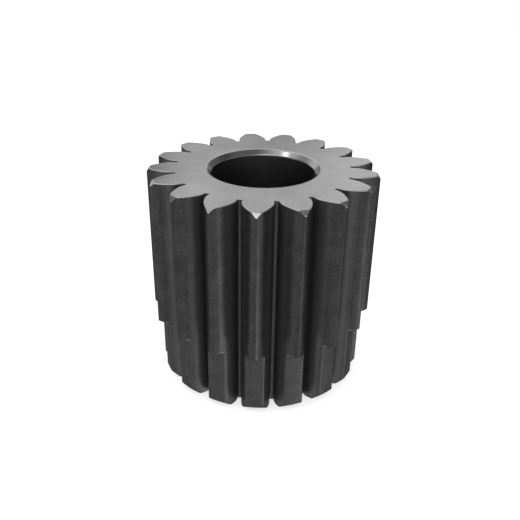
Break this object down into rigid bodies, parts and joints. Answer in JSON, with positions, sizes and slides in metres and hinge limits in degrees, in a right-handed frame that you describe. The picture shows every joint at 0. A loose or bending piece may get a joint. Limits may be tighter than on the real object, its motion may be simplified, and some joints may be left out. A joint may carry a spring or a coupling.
{
  "type": "sun gear",
  "caption": "Spur sun gear for a planetary drive, with pointed teeth, a plain through bore and tooth tips turned down at one end.",
  "frame": {"origin": "on the gear's axis, at the middle of the bore, halfway along the gear", "axes": "+Z along the axis, from the turned-down end to the end with full teeth; one tooth points to -Y"},
  "size_m": [0.101, 0.1006, 0.097],
  "materials": {
    "gear_steel": "dark satin hobbed teeth with ground end faces and turned chamfers"
  },
  "bodies": {
    "root": {"sun_gear": "gear_steel"}
  },
  "joints": []
}
